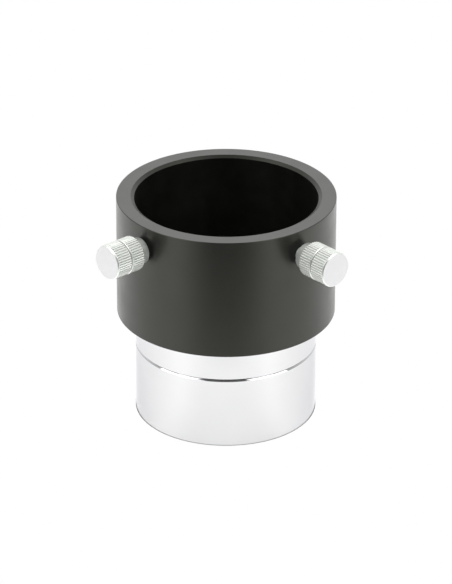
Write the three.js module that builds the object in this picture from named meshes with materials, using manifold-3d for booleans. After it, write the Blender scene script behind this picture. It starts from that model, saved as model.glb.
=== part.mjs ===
// A short 2-inch Barlow lens: a black eyepiece holder with two thumbscrews, on a chromed
// nosepiece in two sections, the lower of which carries an air-spaced negative doublet.
//
// Millimetres. Z is the optical axis and points to the eyepiece. The origin is on that axis,
// at the nosepiece's end face, on which the part stands.

import * as THREE from 'three';
import { mergeVertices } from 'three/addons/utils/BufferGeometryUtils.js';
import Module from 'manifold-3d';

const wasm = await Module();
wasm.setup();

// ---- driving dimensions ----

const THREAD_GAP = 0.3; // radial clearance where one piece screws or slips into another
const SEAT_GAP = 0.1; // axial clearance where one piece seats on another
const RING_SIDES = 60;
const LENS_SIDES = 48;

// 2-inch nosepiece: a lower lens housing and an upper collar, with a V groove at their seam
const NOSE_RADIUS = 25.4;
const NOSE_EDGE = 0.25;
const SEAM_HEIGHT = 20.43;
const SEAM_DEPTH = 0.35;
const FILTER_THREAD_RADIUS = 24.0; // M48 x 0.75, the standard 2-inch filter thread
const FILTER_THREAD_DEPTH = 4.5;
const SPIGOT_HEIGHT = 4.5;
const SPIGOT_BORE_RADIUS = 22.2;
const CELL_SHOULDER_HEIGHT = 20.1;

// Collar
const SHOULDER_HEIGHT = 30.44; // underside of the eyepiece holder
const COLLAR_BORE_RADIUS = 22.6;
const COLLAR_THREAD_DEPTH = 4.8;
const HOLDER_THREAD_RADIUS = 24.4;
const HOLDER_SPIGOT_HEIGHT = 2.9;
const COLLAR_RECESS = 0.5; // depth of the counterbore in the holder that takes the collar's end

// Eyepiece holder
const HOLDER_RADIUS = 30.5;
const HOLDER_LENGTH = 34.73;
const HOLDER_FLOOR = 3.2;
const HOLDER_BASE_EDGE = 0.15;
const HOLDER_TOP_EDGE = 0.15;
const BORE_RADIUS = 25.5; // 51.0 bore for a 50.8 eyepiece barrel
const MOUTH_RADIUS = 26.5;
const MOUTH_DEPTH = 0.65;

// Lens cell and its air-spaced doublet
const CELL_BASE = 5.0;
const CELL_LENGTH = 14.9;
const CELL_RADIUS = 22.5;
const CELL_BORE_RADIUS = 20.3;
const CELL_LIP_RADIUS = 19.2;
const CELL_LIP_LENGTH = 1.3;
const LENS_RADIUS = 20.0;
const CROWN_CENTRE = 1.8;
const INNER_CURVE = 58.8; // both faces of the crown, and the face of the flint that nests in it
const OUTER_CURVE = 943; // shallow dish on the eyepiece side of the flint
const FLINT_CENTRE = 5.5;
const LENS_ARC_STEPS = 5;
const SPACER_THICKNESS = 0.3;
const SPACER_WIDTH = 1.0;
const CUSHION_THICKNESS = 0.4;
const CUSHION_WIDTH = 1.2;
const RETAINER_BORE_RADIUS = 18.6;
const RETAINER_THICKNESS = 1.5;
const RETAINER_SLOT_WIDTH = 1.4;
const RETAINER_SLOT_DEPTH = 0.8;

// Thumbscrews: M4 x 0.7, 90 degrees apart, each turned out by its own amount
const SCREW_HEIGHT = 58.43;
const SCREW_ANGLE = Math.PI / 4; // each side of -Y
const LEFT_FACE_DISTANCE = 43.51; // outer face to the optical axis
const RIGHT_FACE_DISTANCE = 44.3;
const HEAD_RADIUS = 4.9;
const HEAD_LENGTH = 9.61;
const HEAD_EDGE = 0.26;
const KNURL_RIDGES = 42;
const KNURL_DEPTH = 0.28;
const KNURL_SPLIT = 5.01; // middle of the plain groove that parts the two knurled bands
const KNURL_SPLIT_WIDTH = 0.4;
const NECK_RADIUS = 3.7;
const NECK_LENGTH = 2.55;
const NECK_EDGE = 0.15;
const TAPPED_RADIUS = 2.0;
const SHANK_RADIUS = TAPPED_RADIUS - THREAD_GAP;
const SHANK_LENGTH = 4.8;
const TIP_BORE_RADIUS = 0.95;
const TIP_BORE_DEPTH = 2.0;
const TIP_STEM_RADIUS = TIP_BORE_RADIUS - THREAD_GAP;
const TIP_STEM_LENGTH = 1.6;
const TIP_PAD_RADIUS = 1.5;
const TIP_PAD_LENGTH = 0.9;
const TIP_EDGE = 0.2;
const TIP_SIDES = 24;

// ---- finishes ----

const finishes = {
  anodised: { color: 0x3b3c39, roughness: 0.45, metalness: 0.4 },
  blackened: { color: 0x1b1b1a, roughness: 0.8, metalness: 0.1 },
  chrome: { color: 0xe6e7ea, roughness: 0.07, metalness: 1 },
  satin_steel: { color: 0xdcdfda, roughness: 0.28, metalness: 1 },
  nylon: { color: 0xe9e5d8, roughness: 0.55, metalness: 0 },
  glass: { color: 0xdcebe4, roughness: 0.02, metalness: 0, transparent: true, opacity: 0.4 },
  rubber: { color: 0x141414, roughness: 0.9, metalness: 0 },
};

function piece(name, geometry, finish) {
  const mesh = new THREE.Mesh(geometry, new THREE.MeshStandardMaterial(finishes[finish]));
  mesh.name = name;
  return mesh;
}

// ---- turned shapes ----

// A profile is a list of [radius, height], up the outside and down the inside.
function turned(profile, sides) {
  const points = profile.map(([radius, height]) => new THREE.Vector2(radius, height));
  return new THREE.LatheGeometry(points, sides);
}

// A hollow turned piece about Z: its outline closes on itself.
function turnedRing(profile, sides = RING_SIDES) {
  return turned([...profile, profile[0]], sides).rotateX(Math.PI / 2);
}

function plainRing(innerRadius, outerRadius, base, thickness, sides) {
  const outline = [
    [innerRadius, base],
    [outerRadius, base],
    [outerRadius, base + thickness],
    [innerRadius, base + thickness],
  ];
  return turnedRing(outline, sides);
}

// ---- booleans ----

function solid(geometry) {
  const bare = geometry.clone();
  bare.deleteAttribute('normal');
  bare.deleteAttribute('uv');
  const merged = mergeVertices(bare, 1e-4);
  const vertProperties = new Float32Array(merged.attributes.position.array);
  const triVerts = new Uint32Array(merged.index.array);
  return new wasm.Manifold(new wasm.Mesh({ numProp: 3, vertProperties, triVerts }));
}

function cutAway(geometry, cutters) {
  const rest = cutters.reduce((left, cutter) => left.subtract(solid(cutter)), solid(geometry));
  const { vertProperties, triVerts } = rest.getMesh();
  const result = new THREE.BufferGeometry();
  result.setAttribute('position', new THREE.BufferAttribute(vertProperties, 3));
  result.setIndex(new THREE.BufferAttribute(triVerts, 1));
  result.computeVertexNormals();
  return result;
}

// ---- nosepiece ----

const grooveTop = SEAM_HEIGHT + SEAT_GAP;
const grooveRadius = NOSE_RADIUS - SEAM_DEPTH;
const housingSpigotRadius = FILTER_THREAD_RADIUS - THREAD_GAP;

function lensHousing() {
  const boreRadius = CELL_RADIUS + THREAD_GAP;
  const spigotTop = SEAM_HEIGHT + SPIGOT_HEIGHT;
  return turnedRing([
    [FILTER_THREAD_RADIUS + NOSE_EDGE, 0],
    [NOSE_RADIUS - NOSE_EDGE, 0],
    [NOSE_RADIUS, NOSE_EDGE],
    [NOSE_RADIUS, SEAM_HEIGHT - SEAM_DEPTH],
    [grooveRadius, SEAM_HEIGHT],
    [housingSpigotRadius, SEAM_HEIGHT],
    [housingSpigotRadius, spigotTop],
    [SPIGOT_BORE_RADIUS, spigotTop],
    [SPIGOT_BORE_RADIUS, CELL_SHOULDER_HEIGHT],
    [boreRadius, CELL_SHOULDER_HEIGHT],
    [boreRadius, FILTER_THREAD_DEPTH],
    [FILTER_THREAD_RADIUS, FILTER_THREAD_DEPTH],
    [FILTER_THREAD_RADIUS, NOSE_EDGE],
  ]);
}

function nosepieceCollar() {
  const shoulder = SHOULDER_HEIGHT + COLLAR_RECESS - SEAT_GAP;
  const spigotRadius = HOLDER_THREAD_RADIUS - THREAD_GAP;
  const spigotTop = SHOULDER_HEIGHT + HOLDER_SPIGOT_HEIGHT;
  const threadEnd = grooveTop + COLLAR_THREAD_DEPTH;
  return turnedRing([
    [FILTER_THREAD_RADIUS, grooveTop],
    [grooveRadius, grooveTop],
    [NOSE_RADIUS, grooveTop + SEAM_DEPTH],
    [NOSE_RADIUS, shoulder - NOSE_EDGE],
    [NOSE_RADIUS - NOSE_EDGE, shoulder],
    [spigotRadius, shoulder],
    [spigotRadius, spigotTop],
    [COLLAR_BORE_RADIUS, spigotTop],
    [COLLAR_BORE_RADIUS, threadEnd],
    [FILTER_THREAD_RADIUS, threadEnd],
  ]);
}

// ---- eyepiece holder ----

// A tapped hole through the wall at one thumbscrew, cut to the same length on both sides.
function tappedHole(angle) {
  const from = BORE_RADIUS - 2;
  const to = HOLDER_RADIUS + 2;
  const hole = new THREE.CylinderGeometry(TAPPED_RADIUS, TAPPED_RADIUS, to - from, TIP_SIDES);
  hole.translate(0, (from + to) / 2, 0);
  hole.rotateZ(angle);
  hole.translate(0, 0, SCREW_HEIGHT);
  return hole;
}

function eyepieceHolder(screwAngles) {
  const base = SHOULDER_HEIGHT;
  const rim = base + HOLDER_LENGTH;
  const floor = base + HOLDER_FLOOR;
  const recessRadius = NOSE_RADIUS + THREAD_GAP;
  const sleeve = turnedRing([
    [HOLDER_THREAD_RADIUS, base + COLLAR_RECESS],
    [recessRadius, base + COLLAR_RECESS],
    [recessRadius, base],
    [HOLDER_RADIUS - HOLDER_BASE_EDGE, base],
    [HOLDER_RADIUS, base + HOLDER_BASE_EDGE],
    [HOLDER_RADIUS, rim - HOLDER_TOP_EDGE],
    [HOLDER_RADIUS - HOLDER_TOP_EDGE, rim],
    [MOUTH_RADIUS, rim],
    [BORE_RADIUS, rim - MOUTH_DEPTH],
    [BORE_RADIUS, floor],
    [HOLDER_THREAD_RADIUS, floor],
  ]);
  return cutAway(sleeve, screwAngles.map(tappedHole));
}

// ---- lens cell and glass ----

// Depth of a spherical surface of the given radius of curvature, at a distance from its axis.
function sag(curve, distance) {
  return curve - Math.sqrt(curve * curve - distance * distance);
}

// Points out along a lens face, from the axis to the rim, for a function of height.
function lensFace(heightAt) {
  const points = [];
  for (let step = 0; step <= LENS_ARC_STEPS; step += 1) {
    const distance = (LENS_RADIUS * step) / LENS_ARC_STEPS;
    points.push([distance, heightAt(distance)]);
  }
  return points;
}

function lensElement(lowerFace, upperFace) {
  const outline = [...lensFace(lowerFace), ...lensFace(upperFace).reverse()];
  return turned(outline, LENS_SIDES).rotateX(Math.PI / 2);
}

const innerSag = sag(INNER_CURVE, LENS_RADIUS);
const crownBase = CELL_BASE + CELL_LIP_LENGTH + SEAT_GAP;
const crownTop = crownBase + CROWN_CENTRE + 2 * innerSag;
const spacerBase = crownTop + SEAT_GAP;
const flintRim = spacerBase + SPACER_THICKNESS + SEAT_GAP;
const flintVertex = flintRim - innerSag;
const flintTop = flintVertex + FLINT_CENTRE + sag(OUTER_CURVE, LENS_RADIUS);
const cushionBase = flintTop + SEAT_GAP;
const retainerBase = cushionBase + CUSHION_THICKNESS + SEAT_GAP;

function lensCell() {
  const top = CELL_BASE + CELL_LENGTH;
  const lip = CELL_BASE + CELL_LIP_LENGTH;
  return turnedRing([
    [CELL_LIP_RADIUS, CELL_BASE],
    [CELL_RADIUS, CELL_BASE],
    [CELL_RADIUS, top],
    [CELL_BORE_RADIUS, top],
    [CELL_BORE_RADIUS, lip],
    [CELL_LIP_RADIUS, lip],
  ]);
}

function crownElement() {
  const lowerFace = (distance) => crownBase + innerSag - sag(INNER_CURVE, distance);
  const upperFace = (distance) => crownTop - innerSag + sag(INNER_CURVE, distance);
  return lensElement(lowerFace, upperFace);
}

function flintElement() {
  const lowerFace = (distance) => flintVertex + sag(INNER_CURVE, distance);
  const upperFace = (distance) => flintVertex + FLINT_CENTRE + sag(OUTER_CURVE, distance);
  return lensElement(lowerFace, upperFace);
}

// A thin dished foil ring that keeps the two elements apart at their rims.
function elementSpacer() {
  const inner = LENS_RADIUS - SPACER_WIDTH;
  const dish = innerSag - sag(INNER_CURVE, inner);
  return turnedRing([
    [inner, spacerBase - dish],
    [LENS_RADIUS, spacerBase],
    [LENS_RADIUS, spacerBase + SPACER_THICKNESS],
    [inner, spacerBase - dish + SPACER_THICKNESS],
  ], LENS_SIDES);
}

function lensCushionRing() {
  const inner = LENS_RADIUS - CUSHION_WIDTH;
  return plainRing(inner, LENS_RADIUS, cushionBase, CUSHION_THICKNESS, LENS_SIDES);
}

// The retaining ring has two spanner slots across it, on the Y axis.
function lensRetainingRing() {
  const outerRadius = CELL_BORE_RADIUS - THREAD_GAP;
  const ring = plainRing(
    RETAINER_BORE_RADIUS, outerRadius, retainerBase, RETAINER_THICKNESS, RING_SIDES);
  const slotLength = 2 * outerRadius + 2;
  const slot = new THREE.BoxGeometry(RETAINER_SLOT_WIDTH, slotLength, 2 * RETAINER_SLOT_DEPTH);
  slot.translate(0, 0, retainerBase + RETAINER_THICKNESS);
  return cutAway(ring, [slot]);
}

// ---- thumbscrews ----

// Both are turned about Y, with the outer face at y = 0 and the shank towards -Y.
const neckTop = -HEAD_LENGTH;
const neckBase = neckTop - NECK_LENGTH;
const shankEnd = neckBase - SHANK_LENGTH;

// Profile points on the knurl's crests are marked, and pushed in on every second side.
function thumbscrew() {
  const valley = HEAD_RADIUS - KNURL_DEPTH;
  const splitTop = -KNURL_SPLIT + KNURL_SPLIT_WIDTH / 2;
  const splitBase = -KNURL_SPLIT - KNURL_SPLIT_WIDTH / 2;
  const profile = [
    [0, shankEnd + TIP_BORE_DEPTH],
    [TIP_BORE_RADIUS, shankEnd + TIP_BORE_DEPTH],
    [TIP_BORE_RADIUS, shankEnd],
    [SHANK_RADIUS, shankEnd],
    [SHANK_RADIUS, neckBase],
    [NECK_RADIUS - NECK_EDGE, neckBase],
    [NECK_RADIUS, neckBase + NECK_EDGE],
    [NECK_RADIUS, neckTop],
    [valley - HEAD_EDGE / 2, neckTop],
    [HEAD_RADIUS, neckTop + HEAD_EDGE / 2, 'crest'],
    [HEAD_RADIUS, splitBase, 'crest'],
    [valley - HEAD_EDGE / 2, splitBase + HEAD_EDGE / 2],
    [valley - HEAD_EDGE / 2, splitTop - HEAD_EDGE / 2],
    [HEAD_RADIUS, splitTop, 'crest'],
    [HEAD_RADIUS, -HEAD_EDGE, 'crest'],
    [HEAD_RADIUS - HEAD_EDGE, 0],
    [0, 0],
  ];
  const sides = 2 * KNURL_RIDGES;
  const geometry = turned(profile, sides);
  const positions = geometry.attributes.position;
  const inset = valley / HEAD_RADIUS;
  for (let side = 1; side < sides; side += 2) {
    profile.forEach(([, height, mark], index) => {
      if (mark !== 'crest') return;
      const vertex = side * profile.length + index;
      const x = positions.getX(vertex) * inset;
      const z = positions.getZ(vertex) * inset;
      positions.setXYZ(vertex, x, height, z);
    });
  }
  return geometry;
}

// A nylon pad on a stem, which turns freely in the screw's end and so doesn't mark the barrel.
function thumbscrewTip() {
  const padTop = shankEnd - SEAT_GAP;
  const padBase = padTop - TIP_PAD_LENGTH;
  const profile = [
    [0, padBase],
    [TIP_PAD_RADIUS - TIP_EDGE, padBase],
    [TIP_PAD_RADIUS, padBase + TIP_EDGE],
    [TIP_PAD_RADIUS, padTop],
    [TIP_STEM_RADIUS, padTop],
    [TIP_STEM_RADIUS, padTop + TIP_STEM_LENGTH],
    [0, padTop + TIP_STEM_LENGTH],
  ];
  return turned(profile, TIP_SIDES);
}

// A thumbscrew and its tip, turned so that +Y runs out along the screw.
function screwAssembly(side, angle, faceDistance) {
  const screw = new THREE.Group();
  screw.rotation.z = angle;
  screw.position.z = SCREW_HEIGHT;
  const parts = [
    piece(`thumbscrew_${side}`, thumbscrew(), 'satin_steel'),
    piece(`thumbscrew_${side}_tip`, thumbscrewTip(), 'nylon'),
  ];
  for (const part of parts) {
    part.position.y = faceDistance;
    screw.add(part);
  }
  return screw;
}

// ---- assembly ----

const leftAngle = Math.PI - SCREW_ANGLE;
const rightAngle = Math.PI + SCREW_ANGLE;

const nosepiece = new THREE.Group();
nosepiece.add(
  piece('lens_housing', lensHousing(), 'chrome'),
  piece('nosepiece_collar', nosepieceCollar(), 'chrome'),
);

const optics = new THREE.Group();
optics.add(
  piece('lens_cell', lensCell(), 'blackened'),
  piece('crown_element', crownElement(), 'glass'),
  piece('element_spacer', elementSpacer(), 'blackened'),
  piece('flint_element', flintElement(), 'glass'),
  piece('lens_cushion_ring', lensCushionRing(), 'rubber'),
  piece('lens_retaining_ring', lensRetainingRing(), 'blackened'),
);

const barlowLens = new THREE.Group();
barlowLens.add(
  nosepiece,
  optics,
  piece('eyepiece_holder', eyepieceHolder([leftAngle, rightAngle]), 'anodised'),
  screwAssembly('left', leftAngle, LEFT_FACE_DISTANCE),
  screwAssembly('right', rightAngle, RIGHT_FACE_DISTANCE),
);

export default barlowLens;
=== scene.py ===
import math

import bmesh
import bpy
import numpy as np
from mathutils import Matrix, Vector


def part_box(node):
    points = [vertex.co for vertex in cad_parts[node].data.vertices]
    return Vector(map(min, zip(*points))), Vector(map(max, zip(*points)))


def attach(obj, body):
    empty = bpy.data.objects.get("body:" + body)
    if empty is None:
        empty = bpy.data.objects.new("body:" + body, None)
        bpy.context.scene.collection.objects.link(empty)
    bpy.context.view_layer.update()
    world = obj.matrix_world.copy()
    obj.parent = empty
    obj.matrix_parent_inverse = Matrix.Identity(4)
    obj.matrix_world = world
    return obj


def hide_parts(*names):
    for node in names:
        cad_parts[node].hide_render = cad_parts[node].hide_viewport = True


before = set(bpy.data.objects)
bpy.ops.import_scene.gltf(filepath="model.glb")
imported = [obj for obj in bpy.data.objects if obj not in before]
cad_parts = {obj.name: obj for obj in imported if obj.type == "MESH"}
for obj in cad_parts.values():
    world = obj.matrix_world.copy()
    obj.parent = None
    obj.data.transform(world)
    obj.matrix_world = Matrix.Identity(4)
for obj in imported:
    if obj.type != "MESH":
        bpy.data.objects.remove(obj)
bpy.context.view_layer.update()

# Lengths in this script are in millimetres. Blender's, and the floor's and the lights', are in metres.
MM = 0.001

# ---- the camera: where the photograph was taken from ----
CAMERA_AZIMUTH = 2.99  # degrees towards +X from the -Y axis, midway between the thumbscrews
CAMERA_ELEVATION = 26.80
CAMERA_DISTANCE = 1199.8
CAMERA_LENS = 264.35  # mm, on Blender's 36 mm sensor
CAMERA_ROLL = 0.207
AIM_HEIGHT = 33.0
AIM_RISE = 1.9  # the object sits this far below the middle of the frame

# ---- details finer than the CAD solids ----
SIDES = 288  # round the large rings
LENS_SIDES = 128
SMALL_SIDES = 64  # round the nylon tips
HOLE_SIDES = 48
ARC_STEPS = 4  # in each rounded edge
FINE_EDGE = 0.06  # fillets
SOFT_EDGE = 0.12
SHARP_ANGLE = 40.0  # degrees between faces, above which an edge stays sharp
FILLET_SHARE = 0.45  # the most that a fillet may take of either side of its corner
ON_WALL = 0.02  # how near a point has to be to a wall's radius to lie on the wall
THREAD_FLAT = 0.2  # how much of a thread's wave is flattened at its crest and at its root
SCREW_GAP = 0.1  # between two rings that screw together
SAME_POINT = 1e-8  # metres

# ---- the nosepiece ----
SEAM_DEPTH = 0.35
SEAM_CRACK = 0.01
NOSE_EDGE = 0.16
FILTER_RADIUS = 24.0
FILTER_PITCH = 0.75
FILTER_TOOTH = 0.4
FILTER_ROWS = 10  # mesh rows in one pitch of the thread
FILTER_DEPTH = 4.5
BAFFLE_PITCH = 0.8
BAFFLE_TOOTH = 0.35
BAFFLE_ROWS = 8
BAFFLE_MARGIN = (0.3, 0.5)  # plain bore below and above the baffle grooves
COLLAR_BORE = 22.6
COLLAR_THREAD_DEPTH = 4.8
COLLAR_SEAT_GAP = 0.02
HOUSING_INSIDE = 23.5  # black within this radius, and above the seam within SPIGOT_INSIDE
SPIGOT_INSIDE = 25.0
COLLAR_INSIDE = 24.8
SPIGOT_BORE = 22.2
CELL_SHOULDER = 20.1

# ---- the holder ----
HOLDER_THREAD = 24.4
HOLDER_BORE = 25.5
HOLDER_FLOOR = 3.2
HOLDER_TOP_EDGE = 0.15
HOLDER_BASE_EDGE = 0.15
MOUTH_RADIUS = 26.5
MOUTH_DEPTH = 0.65
COLLAR_RECESS = 0.5
RECESS_GAP = 0.15
RIM_FINISH_DEPTH = 0.03
HOLE_OVERRUN = 3.0  # how far the tapped holes' cutters stand out of the wall on each side

# ---- the lens cell and glass ----
CROWN_CURVE = 58.8
FLINT_CURVE = 943.0
FLINT_CENTRE = 5.5
LENS_STEPS = 28
GLASS_BEVEL = 0.25
CELL_LIP = 1.3
CELL_LIP_RADIUS = 19.2
CELL_LIP_EDGE = 0.3
CELL_BORE = 20.3
SPACER_WIDTH = 1.0
SPACER_THICKNESS = 0.3
CUSHION_WIDTH = 1.2
RETAINER_BORE = 18.6
RETAINER_THREAD = 0.2  # how far its thread reaches past the CAD ring
RETAINER_EDGES = (0.15, 0.35)  # at the bore, below and above
RETAINER_SLOT = (1.4, 0.8)  # width, depth

# ---- the thumbscrews ----
SCREW_SPREAD = 45.0  # degrees each side of -Y
TAPPED_RADIUS = 2.0
THREAD_PITCH = 0.7
THREAD_TOOTH = 0.4
THREAD_ROWS = 12
THREAD_PLAY = 0.03
SHANK_LENGTH = 4.8
SHANK_CHAMFER = 0.35
SHANK_EDGE = 0.05
HEAD_RADIUS = 4.9
HEAD_LENGTH = 9.61
HEAD_EDGE = 0.28
HEAD_BASE_EDGE = 0.25
HEAD_BASE_FILLET = 0.04
HEAD_BASE_STEP = 0.1  # how far the inner end of the head lies below the knurl's valleys
KNURL_RIDGES = 42
KNURL_STEPS = 8  # mesh columns across one ridge
KNURL_TOOTH = 0.3
KNURL_LIP = 0.1  # plain ring at the outer end of each knurled band
KNURL_RUNOUT = 0.03  # length in which the ridges end there
BAND_MARGIN = 0.01
VALLEY_SHARE = 0.5  # of the ridges' height, below which the faces get the darker valley finish, which is painted shade
VALLEY_START = 0.2  # from the inner end of the head
SPLIT_CENTRE = 5.01  # of the groove between the two bands, from the outer face
SPLIT_WIDTH = 0.45
SPLIT_DEPTH = 0.42
SPLIT_CHAMFER = (0.2, 0.18)  # of the groove's inner lip: across, along
SPLIT_CHAMFER_START = 0.04  # before the groove
SPLIT_FLOOR_STEP = 0.02  # from the end of the chamfer to the groove's floor
SPLIT_EDGE = 0.03
NECK_RADIUS = 3.7
NECK_LENGTH = 2.55
NECK_EDGE = 0.2
FACE_FINISH_DEPTH = 0.05
TIP_BORE = 0.95
TIP_BORE_DEPTH = 2.0
TIP_PAD_RADIUS = 1.5
TIP_PAD_LENGTH = 0.95
TIP_PAD_EDGE = 0.3
TIP_STEM_LENGTH = 1.6
TIP_STEM_GAP = 0.12
TIP_SEAT_GAP = 0.02


def extent(node):
    """Radius about the optical axis, base and top of a CAD node, in millimetres."""
    low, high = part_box(node)
    return high.x / MM, low.z / MM, high.z / MM


# ---- outlines: lists of (radius, height), up the outside and down the inside ----

def rounded(corners, closed=True):
    """The outline through corners (radius, height, fillet), each rounded by an arc of its fillet."""
    points = []
    count = len(corners)
    for index, (radius, height, fillet) in enumerate(corners):
        here = Vector((radius, height))
        is_end = not closed and index in (0, count - 1)
        if fillet == 0 or is_end:
            points.append(here)
            continue
        before = Vector(corners[index - 1][:2]) - here
        after = Vector(corners[(index + 1) % count][:2]) - here
        half = before.angle(after) / 2
        longest = FILLET_SHARE * min(before.length, after.length)
        reach = min(fillet / math.tan(half), longest)
        arc = reach * math.tan(half)
        inward = (before.normalized() + after.normalized()).normalized()
        centre = here + inward * (arc / math.sin(half))
        start = here + before.normalized() * reach - centre
        sweep = start.angle_signed(here + after.normalized() * reach - centre)
        for step in range(ARC_STEPS + 1):
            turn = Matrix.Rotation(-sweep * step / ARC_STEPS, 2)
            points.append(centre + turn @ start)
    return [tuple(point) for point in points]


def refined(points, radius, low, high, step):
    """Adds rows to an outline's upright stretches at one radius, so that threads can be cut there."""
    result = []
    for start, end in zip(points, points[1:] + points[:1]):
        result.append(start)
        upright = abs(start[0] - radius) < ON_WALL and abs(end[0] - radius) < ON_WALL
        inside = max(start[1], end[1]) > low and min(start[1], end[1]) < high
        if upright and inside:
            rows = int(abs(end[1] - start[1]) / step)
            for row in range(1, rows):
                share = row / rows
                result.append((radius, start[1] + (end[1] - start[1]) * share))
    return result


# ---- relief: how far a turned surface is cut below its outline ----

def screw_thread(radius, low, high, pitch, tooth, inward):
    """A right-hand thread on the wall at one radius, which fades in and out over half a turn."""
    def cut(theta, across, along):
        phase = (along / pitch - theta / (2 * math.pi)) % 1.0
        wave = np.abs(2 * phase - 1)
        profile = np.clip((1 + 2 * THREAD_FLAT) * wave - THREAD_FLAT, 0, 1)
        fade_in = np.clip((along - low) / (pitch / 2), 0, 1)
        fade_out = np.clip((high - along) / (pitch / 2), 0, 1)
        on_wall = np.abs(across - radius) < ON_WALL
        return inward * tooth * profile * fade_in * fade_out * on_wall
    return cut


def knurl(crest, bands, ridges, tooth):
    """Straight ridges with rounded crests round each band (low, high). Deeper chamfers stay as they are."""
    def cut(theta, across, along):
        wave = np.abs(2 * ((theta * ridges / (2 * math.pi)) % 1.0) - 1)
        valley = crest - tooth * wave ** 2
        inside = sum((along > low) & (along < high) for low, high in bands)
        return np.minimum(valley - across, 0) * inside
    return cut


# ---- meshes ----

def smooth(piece):
    """Shades a piece smooth up to its true edges, with its large faces kept flat."""
    for polygon in piece.data.polygons:
        polygon.use_smooth = True
    piece.data.set_sharp_from_angle(angle=math.radians(SHARP_ANGLE))
    weighted = piece.modifiers.new("weighted", "WEIGHTED_NORMAL")
    weighted.keep_sharp = True
    apply_modifiers(piece)


def apply_modifiers(piece):
    """Makes a piece's mesh what its modifiers show, and removes them."""
    bpy.context.view_layer.update()
    evaluated = piece.evaluated_get(bpy.context.evaluated_depsgraph_get())
    mesh = bpy.data.meshes.new_from_object(evaluated, preserve_all_data_layers=True,
                                           depsgraph=bpy.context.evaluated_depsgraph_get())
    piece.modifiers.clear()
    old = piece.data
    piece.data = mesh
    bpy.data.meshes.remove(old)
    mesh.name = piece.name


def revolve(name, points, sides=SIDES, reliefs=()):
    """A solid of revolution about Z through an outline, less its reliefs. Points on the axis meet."""
    theta = np.arange(sides)[:, None] * (2 * math.pi / sides)
    across = np.array([p[0] for p in points])[None, :]
    along = np.array([p[1] for p in points])[None, :]
    radius = across + sum((cut(theta, across, along) for cut in reliefs), np.zeros((sides, 1)))
    height = np.broadcast_to(along, radius.shape)
    grid = np.stack([radius * np.cos(theta), radius * np.sin(theta), height], axis=-1) * MM

    rows = len(points)
    mesh = bpy.data.meshes.new(name)
    shape = bmesh.new()
    verts = [[shape.verts.new(grid[i, j]) for j in range(rows)] for i in range(sides)]
    for i in range(sides):
        k = (i + 1) % sides
        for j in range(rows):
            m = (j + 1) % rows
            if across[0, j] == 0 and across[0, m] == 0:
                continue
            shape.faces.new((verts[i][j], verts[k][j], verts[k][m], verts[i][m]))
    bmesh.ops.remove_doubles(shape, verts=shape.verts, dist=SAME_POINT)
    shape.to_mesh(mesh)
    shape.free()
    piece = bpy.data.objects.new(name, mesh)
    bpy.context.scene.collection.objects.link(piece)
    return piece


def cut_with(piece, cutter):
    """Cuts one object out of another and removes the cutter."""
    difference = piece.modifiers.new("cut", "BOOLEAN")
    difference.operation = "DIFFERENCE"
    difference.solver = "EXACT"
    difference.object = cutter
    apply_modifiers(piece)
    bpy.data.objects.remove(cutter)


def paint(piece, main, others=()):
    """Gives a piece its main material, and each other one on the faces its test(radius, height) picks."""
    piece.data.materials.clear()
    piece.data.materials.append(main)
    for index, (material, picks) in enumerate(others, 1):
        piece.data.materials.append(material)
        for polygon in piece.data.polygons:
            centre = polygon.center / MM
            if picks(math.hypot(centre.x, centre.y), centre.z):
                polygon.material_index = index


def fit(piece, node, body):
    """Puts a piece in place of its CAD node."""
    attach(piece, body)
    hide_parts(node)


# ---- materials ----

NOISE_MIDDLE = (0.3, 0.7)  # where most of a noise's values lie


def add_node(tree, kind, inputs=(), **settings):
    """A shader node with its settings, and its inputs by name or number: sockets are linked, values set."""
    made = tree.nodes.new("ShaderNode" + kind)
    for key, value in settings.items():
        setattr(made, key, value)
    for socket, value in dict(inputs).items():
        if isinstance(value, bpy.types.NodeSocket):
            tree.links.new(value, made.inputs[socket])
        else:
            made.inputs[socket].default_value = value
    return made


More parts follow.
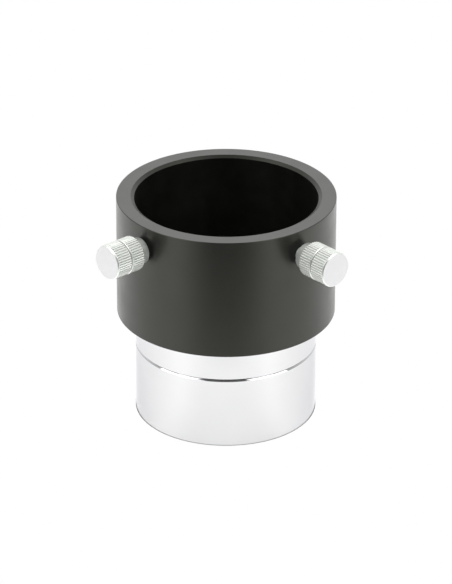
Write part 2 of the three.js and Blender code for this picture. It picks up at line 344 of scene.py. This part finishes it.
class Finish:
    """A Principled material with a short way to add nodes to it."""

    def __init__(self, name, base, roughness, metallic=0.0):
        self.material = bpy.data.materials.new(name)
        self.material.use_nodes = True
        self.tree = self.material.node_tree
        self.bsdf = self.tree.nodes["Principled BSDF"]
        self.set("Base Color", (*base, 1.0))
        self.set("Roughness", roughness)
        self.set("Metallic", metallic)

    def set(self, socket, value):
        self.bsdf.inputs[socket].default_value = value

    def node(self, kind, inputs=(), **settings):
        return add_node(self.tree, kind, inputs, **settings)

    def math(self, operation, *values):
        return self.node("Math", dict(enumerate(values)), operation=operation).outputs["Value"]

    def vector_math(self, operation, *values):
        return self.node("VectorMath", dict(enumerate(values)), operation=operation).outputs["Value"]

    def ramp(self, value, span, low=0.0, high=1.0, **settings):
        """Maps a value from a span to low and high, and holds it there past the span's ends."""
        inputs = {
            "Value": value,
            "From Min": span[0],
            "From Max": span[1],
            "To Min": low,
            "To Max": high,
        }
        return self.node("MapRange", inputs, **settings).outputs["Result"]

    def link(self, output, socket):
        self.tree.links.new(output, self.bsdf.inputs[socket])

    def object_coords(self):
        return self.node("TexCoord").outputs["Object"]

    def turned_coords(self):
        """Radius and height, so that a texture runs in rings as a lathe leaves them."""
        parts = self.node("SeparateXYZ", {"Vector": self.object_coords()}).outputs
        flat = self.node("CombineXYZ", {"X": parts["X"], "Y": parts["Y"]}).outputs["Vector"]
        radius = self.vector_math("LENGTH", flat)
        return self.node("CombineXYZ", {"X": radius, "Z": parts["Z"]}).outputs["Vector"]

    def noise(self, coords, feature, detail=2.0, roughness=0.5):
        """Noise whose lumps are about one feature, in millimetres, across."""
        inputs = {
            "Vector": coords,
            "Scale": 1 / (feature * MM),
            "Detail": detail,
            "Roughness": roughness,
        }
        return self.node("TexNoise", inputs, noise_dimensions="3D").outputs["Fac"]

    def spread(self, value, low, high):
        """Stretches the middle of a noise over low to high."""
        return self.ramp(value, NOISE_MIDDLE, low, high)

    def vary_roughness(self, value, low, high):
        self.link(self.spread(value, low, high), "Roughness")

    def vary_colour(self, value, dark, light):
        # A colour mix has its factor at input 0, its colours at 6 and 7, and its result at output 2.
        inputs = {0: self.spread(value, 0.0, 1.0), 6: (*dark, 1.0), 7: (*light, 1.0)}
        self.link(self.node("Mix", inputs, data_type="RGBA").outputs[2], "Base Color")

    def bump(self, layers):
        """Bump from (height socket, depth in millimetres) layers."""
        normal = None
        for height, depth in layers:
            inputs = {"Height": height, "Distance": depth * MM, "Strength": 1.0}
            if normal is not None:
                inputs["Normal"] = normal
            normal = self.node("Bump", inputs).outputs["Normal"]
        self.link(normal, "Normal")


def black_anodised():
    finish = Finish("black anodised aluminium", (0.0035, 0.0037, 0.003), 0.36)
    rings = finish.turned_coords()
    coords = finish.object_coords()
    finish.vary_roughness(finish.noise(coords, 6.0, 4.0), 0.33, 0.40)
    patches = finish.noise(coords, 3.0, 6.0, 0.7)
    finish.vary_colour(patches, (0.0028, 0.0030, 0.0024), (0.0042, 0.0044, 0.0038))
    finish.bump([
        (finish.noise(rings, 0.22, 3.0), 0.0012),
        (finish.noise(coords, 0.09, 2.0), 0.0010),
    ])
    finish.set("Specular Tint", (0.99, 1.0, 0.88, 1.0))
    finish.set("Anisotropic", 0.4)
    finish.set("Anisotropic Rotation", 0.25)
    return finish.material


def turned_black_with_sheen():
    """The holder's flat rim. Its base colour, lighter than the wall's, is partly the finish a facing cut
    leaves and partly a painted sheen for the light the flat top catches.
    """
    finish = Finish("black anodised rim with painted sheen", (0.077, 0.079, 0.074), 0.40)
    rings = finish.turned_coords()
    coords = finish.object_coords()
    finish.vary_roughness(finish.noise(coords, 6.0, 4.0), 0.36, 0.44)
    patches = finish.noise(coords, 3.0, 6.0, 0.7)
    finish.vary_colour(patches, (0.073, 0.075, 0.070), (0.081, 0.083, 0.078))
    finish.bump([
        (finish.noise(rings, 0.22, 3.0), 0.0012),
        (finish.noise(coords, 0.09, 2.0), 0.0010),
    ])
    return finish.material


def dull_black():
    finish = Finish("blackened inner surface", (0.006, 0.006, 0.006), 0.7)
    coords = finish.object_coords()
    finish.vary_roughness(finish.noise(coords, 1.5, 4.0), 0.6, 0.8)
    patches = finish.noise(coords, 0.8, 5.0, 0.7)
    finish.vary_colour(patches, (0.005, 0.005, 0.005), (0.008, 0.008, 0.0075))
    finish.bump([(finish.noise(coords, 0.06, 2.0), 0.003)])
    finish.set("Specular IOR Level", 0.35)
    return finish.material


def chrome():
    finish = Finish("bright chrome", (0.58, 0.58, 0.585), 0.05, 1.0)
    coords = finish.object_coords()
    rings = finish.turned_coords()
    finish.vary_roughness(finish.noise(coords, 9.0, 5.0, 0.6), 0.035, 0.075)
    finish.vary_colour(finish.noise(coords, 14.0, 3.0), (0.575, 0.575, 0.580), (0.585, 0.585, 0.591))
    finish.bump([(finish.noise(rings, 0.5, 2.0), 0.0002)])
    finish.set("Specular Tint", (0.89, 0.89, 0.91, 1.0))
    return finish.material


def satin_steel():
    """The screws' nickel plating: their knurled rims, necks and shanks."""
    finish = Finish("nickel-plated steel", (0.77, 0.785, 0.755), 0.32, 0.75)
    coords = finish.object_coords()
    rings = finish.turned_coords()
    finish.vary_roughness(finish.noise(coords, 0.8, 4.0, 0.6), 0.27, 0.36)
    finish.vary_colour(finish.noise(coords, 1.6, 3.0), (0.755, 0.78, 0.74), (0.785, 0.81, 0.77))
    finish.bump([
        (finish.noise(rings, 0.10, 2.0), 0.0016),
        (finish.noise(coords, 0.07, 2.0), 0.0012),
    ])
    return finish.material


def shaded_valley_steel():
    """The floors of the knurl's valleys: a rougher plating, with a darker base colour that is painted shade
    in the recesses.
    """
    finish = Finish("knurl valleys with painted shade", (0.47, 0.48, 0.46), 0.45, 0.7)
    coords = finish.object_coords()
    finish.vary_roughness(finish.noise(coords, 0.8, 4.0, 0.6), 0.40, 0.50)
    finish.vary_colour(finish.noise(coords, 0.9, 3.0), (0.41, 0.42, 0.40), (0.55, 0.56, 0.54))
    finish.bump([(finish.noise(coords, 0.07, 2.0), 0.0012)])
    return finish.material


def turned_and_shaded_steel():
    """The screws' flat outer faces. Their base colour, darker than the knurled rims', is partly a lathe
    finish and partly painted shade against the light the faces catch.
    """
    finish = Finish("turned screw face", (0.585, 0.585, 0.59), 0.42, 0.8)
    coords = finish.object_coords()
    rings = finish.turned_coords()
    finish.vary_roughness(finish.noise(coords, 0.8, 4.0, 0.6), 0.38, 0.48)
    finish.vary_colour(finish.noise(coords, 2.2, 3.0), (0.58, 0.58, 0.586), (0.595, 0.595, 0.601))
    finish.bump([
        (finish.noise(rings, 0.08, 2.0), 0.0012),
        (finish.noise(coords, 0.07, 2.0), 0.0008),
    ])
    return finish.material


def nylon():
    finish = Finish("natural nylon", (0.78, 0.74, 0.62), 0.5)
    coords = finish.object_coords()
    finish.vary_roughness(finish.noise(coords, 0.5, 3.0), 0.42, 0.58)
    finish.vary_colour(finish.noise(coords, 0.7, 3.0), (0.75, 0.71, 0.59), (0.80, 0.76, 0.65))
    finish.bump([(finish.noise(coords, 0.12, 2.0), 0.004)])
    finish.set("Subsurface Weight", 0.15)
    finish.set("Subsurface Radius", (0.001, 0.0008, 0.0006))
    return finish.material


def rubber():
    finish = Finish("black rubber", (0.012, 0.012, 0.012), 0.8)
    coords = finish.object_coords()
    finish.vary_roughness(finish.noise(coords, 0.4, 3.0), 0.72, 0.88)
    finish.bump([(finish.noise(coords, 0.05, 2.0), 0.004)])
    return finish.material


def coated_glass(name, ior, film, film_ior):
    """Optical glass with an anti-reflection film, whose thickness in nanometres tints what it reflects."""
    finish = Finish(name, (0.98, 1.0, 0.985), 0.0)
    coords = finish.object_coords()
    finish.set("IOR", ior)
    finish.set("Transmission Weight", 1.0)
    finish.set("Thin Film Thickness", film)
    finish.set("Thin Film IOR", film_ior)
    finish.vary_roughness(finish.noise(coords, 7.0, 4.0), 0.0, 0.012)
    return finish.material


# ---- the nosepiece ----

nose_radius, base, spigot_top = extent("lens_housing")
_, collar_base, collar_top = extent("nosepiece_collar")
holder_radius, holder_base, rim = extent("eyepiece_holder")
seam_low = collar_base - SCREW_GAP
seam = (seam_low + collar_base) / 2


def make_housing():
    cell_radius, _, _ = extent("lens_cell")
    groove = nose_radius - SEAM_DEPTH
    spigot = FILTER_RADIUS - SCREW_GAP
    cell_bore = cell_radius + SCREW_GAP
    top = seam - SEAM_CRACK
    outline = rounded([
        (FILTER_RADIUS + NOSE_EDGE, base, FINE_EDGE),
        (nose_radius - NOSE_EDGE, base, SOFT_EDGE),
        (nose_radius, base + NOSE_EDGE, SOFT_EDGE),
        (nose_radius, seam_low - SEAM_DEPTH, FINE_EDGE),
        (groove, top, FINE_EDGE / 2),
        (spigot, top, FINE_EDGE / 2),
        (spigot, spigot_top, SOFT_EDGE),
        (SPIGOT_BORE, spigot_top, SOFT_EDGE),
        (SPIGOT_BORE, CELL_SHOULDER, FINE_EDGE),
        (cell_bore, CELL_SHOULDER, FINE_EDGE),
        (cell_bore, FILTER_DEPTH, FINE_EDGE),
        (FILTER_RADIUS, FILTER_DEPTH, FINE_EDGE),
        (FILTER_RADIUS, base + NOSE_EDGE, FINE_EDGE),
    ])
    outline = refined(outline, FILTER_RADIUS, base, FILTER_DEPTH, FILTER_PITCH / FILTER_ROWS)
    thread = screw_thread(FILTER_RADIUS, base + NOSE_EDGE, FILTER_DEPTH - SCREW_GAP,
                          FILTER_PITCH, FILTER_TOOTH, inward=-1)
    return revolve("housing", outline, reliefs=[thread])


def inside_housing(radius, height):
    return radius < HOUSING_INSIDE or height > seam and radius < SPIGOT_INSIDE


def make_collar():
    groove = nose_radius - SEAM_DEPTH
    low = seam + SEAM_CRACK
    thread_end = low + COLLAR_THREAD_DEPTH
    spigot = HOLDER_THREAD - SCREW_GAP
    shoulder = holder_base + COLLAR_RECESS - COLLAR_SEAT_GAP
    outline = rounded([
        (FILTER_RADIUS, low, FINE_EDGE),
        (groove, low, FINE_EDGE / 2),
        (nose_radius, collar_base + SEAM_DEPTH, FINE_EDGE),
        (nose_radius, shoulder, FINE_EDGE),
        (spigot, shoulder, FINE_EDGE),
        (spigot, collar_top, SOFT_EDGE),
        (COLLAR_BORE, collar_top, SOFT_EDGE),
        (COLLAR_BORE, thread_end, FINE_EDGE),
        (FILTER_RADIUS, thread_end, FINE_EDGE),
    ])
    outline = refined(outline, COLLAR_BORE, thread_end, collar_top, BAFFLE_PITCH / BAFFLE_ROWS)
    below, above = BAFFLE_MARGIN
    grooves = screw_thread(COLLAR_BORE, thread_end + below, collar_top - above,
                           BAFFLE_PITCH, BAFFLE_TOOTH, inward=1)
    return revolve("collar", outline, reliefs=[grooves])


def inside_collar(radius, height):
    return radius < COLLAR_INSIDE


# ---- the eyepiece holder ----

def screw_direction(side):
    """The way out along a thumbscrew from the optical axis, on its side of -Y."""
    angle = math.radians(SCREW_SPREAD) * (-1 if side == "left" else 1)
    return Vector((math.sin(angle), -math.cos(angle), 0.0))


def screw_height(side):
    """How high a thumbscrew's axis is."""
    low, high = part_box(f"thumbscrew_{side}")
    return (low.z + high.z) / 2 / MM


def place_on_screw_axis(piece, side, distance):
    """Stands a piece made about local Z on a thumbscrew's axis, at a distance from the optical axis."""
    out = screw_direction(side)
    place = Matrix.Translation((out * distance + Vector((0, 0, screw_height(side)))) * MM)
    piece.matrix_world = place @ out.to_track_quat("Z", "Y").to_matrix().to_4x4()


def make_holder():
    recess = nose_radius + RECESS_GAP
    outline = rounded([
        (HOLDER_THREAD, holder_base + COLLAR_RECESS, FINE_EDGE),
        (recess, holder_base + COLLAR_RECESS, FINE_EDGE),
        (recess, holder_base, FINE_EDGE),
        (holder_radius - HOLDER_BASE_EDGE, holder_base, SOFT_EDGE),
        (holder_radius, holder_base + HOLDER_BASE_EDGE, SOFT_EDGE),
        (holder_radius, rim - HOLDER_TOP_EDGE, FINE_EDGE),
        (holder_radius - HOLDER_TOP_EDGE, rim, FINE_EDGE),
        (MOUTH_RADIUS, rim, FINE_EDGE),
        (HOLDER_BORE, rim - MOUTH_DEPTH, SOFT_EDGE),
        (HOLDER_BORE, holder_base + HOLDER_FLOOR, SOFT_EDGE),
        (HOLDER_THREAD, holder_base + HOLDER_FLOOR, FINE_EDGE),
    ])
    holder = revolve("holder", outline)
    inner = -HOLE_OVERRUN
    outer = holder_radius - HOLDER_BORE + HOLE_OVERRUN
    hole = [(0, inner), (TAPPED_RADIUS, inner), (TAPPED_RADIUS, outer), (0, outer)]
    for side in ("left", "right"):
        cutter = revolve("tapped_hole", hole, HOLE_SIDES)
        place_on_screw_axis(cutter, side, HOLDER_BORE)
        cut_with(holder, cutter)
    return holder


# Picks the flat rim, whose lighter finish is partly a painted sheen.
def on_rim(radius, height):
    return height > rim - RIM_FINISH_DEPTH


# ---- the lens cell and glass ----

def sag(curve, distance):
    """How far a sphere of radius curve has fallen away at a distance from its vertex."""
    return curve - math.sqrt(curve * curve - distance * distance)


def lens_outline(radius, lower, upper):
    """Out along the lower face and back along the upper one, with a ground bevel at each rim."""
    flat = radius - GLASS_BEVEL
    steps = [flat * step / LENS_STEPS for step in range(LENS_STEPS + 1)]
    points = [(distance, lower(distance)) for distance in steps]
    points += [(radius, lower(flat) + GLASS_BEVEL), (radius, upper(flat) - GLASS_BEVEL)]
    points += [(distance, upper(distance)) for distance in reversed(steps)]
    return points


def make_crown():
    radius, low, top = extent("crown_element")
    depth = sag(CROWN_CURVE, radius)
    return revolve("crown_glass", lens_outline(
        radius,
        lambda distance: low + depth - sag(CROWN_CURVE, distance),
        lambda distance: top - depth + sag(CROWN_CURVE, distance),
    ), LENS_SIDES)


def make_flint():
    radius, vertex, _ = extent("flint_element")
    return revolve("flint_glass", lens_outline(
        radius,
        lambda distance: vertex + sag(CROWN_CURVE, distance),
        lambda distance: vertex + FLINT_CENTRE + sag(FLINT_CURVE, distance),
    ), LENS_SIDES)


def make_cell():
    radius, low, top = extent("lens_cell")
    return revolve("cell", rounded([
        (CELL_LIP_RADIUS, low, CELL_LIP_EDGE),
        (radius, low, SOFT_EDGE),
        (radius, top, SOFT_EDGE),
        (CELL_BORE, top, SOFT_EDGE),
        (CELL_BORE, low + CELL_LIP, FINE_EDGE),
        (CELL_LIP_RADIUS, low + CELL_LIP, FINE_EDGE),
    ]))


def make_spacer():
    radius, _, top = extent("element_spacer")
    inner = radius - SPACER_WIDTH
    low = top - SPACER_THICKNESS
    dish = sag(CROWN_CURVE, radius) - sag(CROWN_CURVE, inner)
    return revolve("spacer_foil", rounded([
        (inner, low - dish, FINE_EDGE),
        (radius, low, FINE_EDGE),
        (radius, top, FINE_EDGE),
        (inner, top - dish, FINE_EDGE),
    ]), LENS_SIDES)


def make_cushion():
    radius, low, top = extent("lens_cushion_ring")
    inner = radius - CUSHION_WIDTH
    half = (top - low) / 2
    return revolve("cushion", rounded([
        (inner, low, half),
        (radius, low, half),
        (radius, top, half),
        (inner, top, half),
    ]), LENS_SIDES)


def make_retainer():
    radius, low, top = extent("lens_retaining_ring")
    thread = radius + RETAINER_THREAD
    lower_edge, upper_edge = RETAINER_EDGES
    ring = revolve("retaining_ring", rounded([
        (RETAINER_BORE, low, lower_edge),
        (thread, low, SOFT_EDGE),
        (thread, top, SOFT_EDGE),
        (RETAINER_BORE, top, upper_edge),
    ]))
    width, depth = RETAINER_SLOT
    slot = bpy.data.objects.new("slot", bpy.data.meshes.new("slot"))
    bpy.context.scene.collection.objects.link(slot)
    shape = bmesh.new()
    bmesh.ops.create_cube(shape, size=1.0)
    length = 3 * radius  # right across the ring and past it
    bmesh.ops.scale(shape, verts=shape.verts, vec=Vector((width, length, 2 * depth)) * MM)
    bmesh.ops.translate(shape, verts=shape.verts, vec=(0, 0, top * MM))
    shape.to_mesh(slot.data)
    shape.free()
    cut_with(ring, slot)
    return ring


# ---- the thumbscrews, made about local Z with the outer face at 0 and the shank below ----

neck_top = -HEAD_LENGTH
neck_base = neck_top - NECK_LENGTH
shank_end = neck_base - SHANK_LENGTH


def make_screw(side):
    shank = TAPPED_RADIUS - THREAD_PLAY
    split_low = -SPLIT_CENTRE - SPLIT_WIDTH / 2
    split_high = -SPLIT_CENTRE + SPLIT_WIDTH / 2
    split_floor = HEAD_RADIUS - SPLIT_DEPTH
    lip_across, lip_along = SPLIT_CHAMFER
    lip_start = split_low - SPLIT_CHAMFER_START
    lip_end = lip_start + lip_along
    inner_end = split_low - KNURL_LIP
    outer_end = -HEAD_EDGE - KNURL_LIP
    outline = rounded([
        (0, shank_end + TIP_BORE_DEPTH, 0),
        (TIP_BORE, shank_end + TIP_BORE_DEPTH, 0),
        (TIP_BORE, shank_end, SHANK_EDGE),
        (TAPPED_RADIUS - SHANK_CHAMFER, shank_end, SHANK_EDGE),
        (shank, shank_end + SHANK_CHAMFER, 0),
        (shank, neck_base, 0),
        (NECK_RADIUS - NECK_EDGE, neck_base, SHANK_EDGE),
        (NECK_RADIUS, neck_base + NECK_EDGE, SHANK_EDGE),
        (NECK_RADIUS, neck_top, SOFT_EDGE),
        (HEAD_RADIUS - KNURL_TOOTH - HEAD_BASE_STEP, neck_top, HEAD_BASE_FILLET),
        (HEAD_RADIUS, neck_top + HEAD_BASE_EDGE, FINE_EDGE),
        (HEAD_RADIUS, inner_end - KNURL_RUNOUT, 0),
        (HEAD_RADIUS, inner_end, 0),
        (HEAD_RADIUS, lip_start, 0),
        (HEAD_RADIUS - lip_across, lip_end, 0),
        (split_floor, lip_end + SPLIT_FLOOR_STEP, SPLIT_FLOOR_STEP),
        (split_floor, split_high, SPLIT_EDGE),
        (HEAD_RADIUS, split_high, SPLIT_EDGE),
        (HEAD_RADIUS, outer_end - KNURL_RUNOUT, 0),
        (HEAD_RADIUS, outer_end, 0),
        (HEAD_RADIUS, -HEAD_EDGE, FINE_EDGE),
        (HEAD_RADIUS - HEAD_EDGE, 0, FINE_EDGE),
        (0, 0, 0),
    ], closed=False)
    outline = refined(outline, shank, shank_end, neck_base, THREAD_PITCH / THREAD_ROWS)
    thread = screw_thread(shank, shank_end, neck_base - SCREW_GAP,
                          THREAD_PITCH, THREAD_TOOTH, inward=-1)
    bands = [
        (neck_top, inner_end - BAND_MARGIN),
        (split_high - BAND_MARGIN, outer_end - BAND_MARGIN),
    ]
    ridges = knurl(HEAD_RADIUS, bands, KNURL_RIDGES, KNURL_TOOTH)
    return revolve(f"{side}_screw", outline, KNURL_RIDGES * KNURL_STEPS, [thread, ridges])


# Picks the screws' outer faces, whose darker finish is partly painted shade.
def on_face(radius, height):
    return height > -FACE_FINISH_DEPTH


# Picks the low faces in the knurl's valleys, which get the painted shade.
def in_valley(radius, height):
    on_ridges = neck_top + VALLEY_START < height < -HEAD_EDGE
    low = HEAD_RADIUS - KNURL_TOOTH - ON_WALL
    return on_ridges and low < radius < HEAD_RADIUS - VALLEY_SHARE * KNURL_TOOTH


def make_pad(side):
    stem = TIP_BORE - TIP_STEM_GAP
    pad_top = shank_end - TIP_SEAT_GAP
    pad_base = pad_top - TIP_PAD_LENGTH
    stem_top = pad_top + TIP_STEM_LENGTH
    outline = rounded([
        (0, pad_base, 0),
        (TIP_PAD_RADIUS, pad_base, TIP_PAD_EDGE),
        (TIP_PAD_RADIUS, pad_top, FINE_EDGE),
        (stem, pad_top, 0),
        (stem, stem_top, 0.1),
        (0, stem_top, 0),
    ], closed=False)
    return revolve(f"{side}_pad", outline, SMALL_SIDES)


def face_distance(side):
    """How far a thumbscrew's outer face is from the optical axis: its CAD solid's reach along its axis."""
    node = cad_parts[f"thumbscrew_{side}"]
    out = screw_direction(side)
    return max(vertex.co.dot(out) for vertex in node.data.vertices) / MM


# ---- the camera, the room and its light ----

def make_camera():
    azimuth = math.radians(CAMERA_AZIMUTH)
    elevation = math.radians(CAMERA_ELEVATION)
    level = Vector((math.sin(azimuth), -math.cos(azimuth), 0))
    back = level * math.cos(elevation) + Vector((0, 0, math.sin(elevation)))
    up = Vector((0, 0, math.cos(elevation))) - level * math.sin(elevation)
    target = Vector((0, 0, AIM_HEIGHT))
    place = target + back * CAMERA_DISTANCE
    data = bpy.data.cameras.new("camera")
    data.lens = CAMERA_LENS
    data.clip_start = 0.05
    data.clip_end = 50
    camera = bpy.data.objects.new("camera", data)
    bpy.context.scene.collection.objects.link(camera)
    look = target + up * AIM_RISE - place
    turn = look.to_track_quat("-Z", "Y").to_matrix().to_4x4()
    roll = Matrix.Rotation(math.radians(CAMERA_ROLL), 4, "Z")
    camera.matrix_world = Matrix.Translation(place * MM) @ turn @ roll
    bpy.context.scene.camera = camera


make_camera()


LIGHT_DISTANCE = 0.9  # metres


def area_light(name, azimuth, elevation, size, power):
    """A soft box of a power in watts, which looks at the object from a direction in degrees."""
    swing = Matrix.Rotation(math.radians(azimuth), 3, "Z")
    rise = Matrix.Rotation(math.radians(-elevation), 3, "X")
    back = swing @ rise @ Vector((0, -1, 0))
    data = bpy.data.lights.new(name, "AREA")
    data.shape = "RECTANGLE"
    data.size, data.size_y = size
    data.energy = power
    light = bpy.data.objects.new(name, data)
    bpy.context.scene.collection.objects.link(light)
    light.location = back * LIGHT_DISTANCE + Vector((0, 0, AIM_HEIGHT * MM))
    light.rotation_euler = back.to_track_quat("Z", "Y").to_euler()


area_light("left softbox", -70, 50, (0.6, 0.6), 2.7)
area_light("right softbox", 70, 50, (0.6, 0.6), 2.7)
area_light("left front softbox", -44, 32, (0.45, 0.55), 1.4)
area_light("right front softbox", 50, 32, (0.45, 0.55), 1.4)

# Radiance of the floor and the room, where white is 1, and places on the floor in metres
SEEN_WHITE = 1.0
FLOOR_RADIUS = 4.0
FLOOR_SIDES = 96
FLOOR_PALE = 0.8
FLOOR_DARK = 0.08
FLOOR_GLOW = 0.64
CONTACT = (0.0255, 0.0261)  # radii over which the floor clears the shade under the nosepiece
DARK_CENTRE = 0.25  # how far in front of the object the dark floor is centred
DARK_RADIUS = (0.08, 0.19)  # from fully dark to pale
DARK_WIDENING = 4.0  # in each metre past its centre, over its width there
SHADE_CENTRE = 0.035  # the object's own faint shade on the floor behind it
SHADE_RADIUS = (0.03, 0.06)
SHADE_LEVEL = 0.87
CURVE_TOP = 2.0  # a float curve only reaches 1, which stands for this
# Floor glow round the object, from behind it (0) to in front of it (1), over its mean
GLOW_ROUND = [
    (0.0, 1.04),
    (0.35, 1.0),
    (0.6, 1.01),
    (0.73, 1.08),
    (0.85, 1.15),
    (0.94, 1.0),
    (0.965, 0.96),
    (1.0, 0.95),
]
# The room from behind the camera (0), past its sides (0.5), to behind the object (1)
ROOM_ROUND = [(0.0, 0.1), (0.28, 0.22), (0.5, 0.6), (1.0, 1.25)]


def towards_back():
    """The level direction away from the camera."""
    azimuth = math.radians(CAMERA_AZIMUTH)
    return Vector((-math.sin(azimuth), math.cos(azimuth), 0.0))


def set_curve(node, points):
    """Sets a float curve through points, whose values go up to CURVE_TOP."""
    curve = node.mapping.curves[0]
    ends = (points[0], points[-1])
    for point, (place, value) in zip(curve.points, ends):
        point.location = (place, value / CURVE_TOP)
    for place, value in points[1:-1]:
        curve.points.new(place, value / CURVE_TOP)
    node.mapping.update()


def glow_round(finish, depth, radius):
    """The floor's glow round the object, over its mean."""
    facing = finish.math("DIVIDE", depth, radius)
    curve = finish.node("FloatCurve", {"Value": finish.ramp(facing, (1.0, -1.0))})
    set_curve(curve, GLOW_ROUND)
    return finish.math("MULTIPLY", curve.outputs["Value"], CURVE_TOP)


def clear_of_dark(finish, coords, depth):
    """0 on the dark floor in front of the object, which widens towards the camera, and 1 off it."""
    aside = towards_back().cross(Vector((0, 0, 1)))
    across = finish.vector_math("DOT_PRODUCT", coords, aside)
    past = finish.math("ADD", depth, DARK_CENTRE)
    short = finish.math("MAXIMUM", past, 0.0)
    beyond = finish.math("MINIMUM", past, 0.0)
    widening = finish.math("MULTIPLY_ADD", beyond, -DARK_WIDENING, 1.0)
    place = finish.node("CombineXYZ", {"X": finish.math("DIVIDE", across, widening), "Y": short})
    away = finish.vector_math("LENGTH", place.outputs["Vector"])
    return finish.ramp(away, DARK_RADIUS, interpolation_type="SMOOTHSTEP")


def floor_white(finish, coords, depth, radius):
    """How white the floor is. It is less in the dark patch, in the object's shade and under it."""
    behind = finish.vector_math("DISTANCE", coords, tuple(SHADE_CENTRE * towards_back()))
    faint = finish.ramp(behind, SHADE_RADIUS, SHADE_LEVEL, interpolation_type="SMOOTHSTEP")
    white = finish.math("MULTIPLY", clear_of_dark(finish, coords, depth), faint)
    return finish.math("MULTIPLY", white, finish.ramp(radius, CONTACT))


def make_floor():
    """White as the camera sees it. In reflections it glows, with a dark patch in front of the object."""
    bpy.ops.mesh.primitive_circle_add(vertices=FLOOR_SIDES, radius=FLOOR_RADIUS, fill_type="NGON")
    floor = bpy.context.object
    floor.name = "floor"
    finish = Finish("white table", (FLOOR_PALE,) * 3, 0.9)
    finish.set("Specular IOR Level", 0.0)
    coords = finish.object_coords()
    radius = finish.vector_math("LENGTH", coords)
    depth = finish.vector_math("DOT_PRODUCT", coords, towards_back())
    white = floor_white(finish, coords, depth, radius)
    glow = finish.math("MULTIPLY", white, FLOOR_GLOW)
    glow = finish.math("MULTIPLY", glow, glow_round(finish, depth, radius))
    finish.set("Emission Color", (1, 1, 1, 1))
    finish.link(glow, "Emission Strength")
    shade = finish.ramp(white, (0.0, 1.0), FLOOR_DARK, FLOOR_PALE)
    grey = finish.node("CombineColor", {"Red": shade, "Green": shade, "Blue": shade})
    finish.link(grey.outputs["Color"], "Base Color")

    # Plain white for the camera, and nothing at all from below
    seen = finish.node("LightPath").outputs["Is Camera Ray"]
    plain = finish.node("Emission", {"Strength": SEEN_WHITE}).outputs["Emission"]
    top = finish.node("MixShader", {0: seen, 1: finish.bsdf.outputs["BSDF"], 2: plain})
    from_below = finish.node("NewGeometry").outputs["Backfacing"]
    through = finish.node("BsdfTransparent").outputs["BSDF"]
    both = finish.node("MixShader", {0: from_below, 1: top.outputs["Shader"], 2: through})
    output = finish.tree.nodes["Material Output"]
    finish.tree.links.new(both.outputs["Shader"], output.inputs["Surface"])
    floor.data.materials.append(finish.material)


make_floor()


def make_world():
    """A room bright behind the object and dark behind the camera, but plain white as the camera sees it."""
    world = bpy.data.worlds.new("studio")
    bpy.context.scene.world = world
    world.use_nodes = True
    tree = world.node_tree
    tree.nodes.clear()
    coords = add_node(tree, "TexCoord").outputs["Generated"]
    facing = add_node(tree, "VectorMath", {0: coords, 1: towards_back()}, operation="DOT_PRODUCT")
    share = add_node(tree, "MapRange", {"Value": facing.outputs["Value"], "From Min": -1.0})
    curve = add_node(tree, "FloatCurve", {"Value": share.outputs["Result"]})
    set_curve(curve, ROOM_ROUND)
    level = add_node(tree, "Math", {0: curve.outputs["Value"], 1: CURVE_TOP}, operation="MULTIPLY")
    white = (1, 1, 1, 1)
    room = add_node(tree, "Background", {"Color": white, "Strength": level.outputs["Value"]})
    plain = add_node(tree, "Background", {"Color": white, "Strength": SEEN_WHITE})
    seen = add_node(tree, "LightPath").outputs["Is Camera Ray"]
    shaders = {0: seen, 1: room.outputs["Background"], 2: plain.outputs["Background"]}
    mix = add_node(tree, "MixShader", shaders)
    add_node(tree, "OutputWorld", {"Surface": mix.outputs["Shader"]})


make_world()
bpy.context.scene.view_settings.view_transform = "Standard"

# ---- put it together ----

# The rim's lighter finish is partly a painted sheen.
anodised, facing_cut_and_sheen, blackened, plated = black_anodised(), turned_black_with_sheen(), dull_black(), chrome()
crown_finish = coated_glass("crown glass", 1.517, 420, 1.7)
flint_finish = coated_glass("flint glass", 1.62, 480, 1.8)

for piece, node, slot, material, others in (
    (make_holder(), "eyepiece_holder", "black_anodised", anodised, [(facing_cut_and_sheen, on_rim)]),
    (make_housing(), "lens_housing", "chrome", plated, [(blackened, inside_housing)]),
    (make_collar(), "nosepiece_collar", "chrome", plated, [(blackened, inside_collar)]),
    (make_cell(), "lens_cell", "blackened_metal", blackened, []),
    (make_crown(), "crown_element", "crown_glass", crown_finish, []),
    (make_spacer(), "element_spacer", "blackened_metal", blackened, []),
    (make_flint(), "flint_element", "flint_glass", flint_finish, []),
    (make_cushion(), "lens_cushion_ring", "rubber", rubber(), []),
    (make_retainer(), "lens_retaining_ring", "blackened_metal", blackened, []),
):
    smooth(piece)
    paint(piece, material, others)
    fit(piece, node, "root")

# The faces' darker finish is partly painted shade.
steel, turned_and_shaded, painted_valley_shade, plastic = satin_steel(), turned_and_shaded_steel(), shaded_valley_steel(), nylon()

for side in ("left", "right"):
    distance = face_distance(side)
    screw = make_screw(side)
    smooth(screw)
    # The valleys' darker finish is painted shade in the recesses.
    paint(screw, steel, [(turned_and_shaded, on_face), (painted_valley_shade, in_valley)])
    place_on_screw_axis(screw, side, distance)
    fit(screw, f"thumbscrew_{side}", f"{side}_thumbscrew")
    pad = make_pad(side)
    smooth(pad)
    paint(pad, plastic)
    place_on_screw_axis(pad, side, distance)
    fit(pad, f"thumbscrew_{side}_tip", f"{side}_tip")
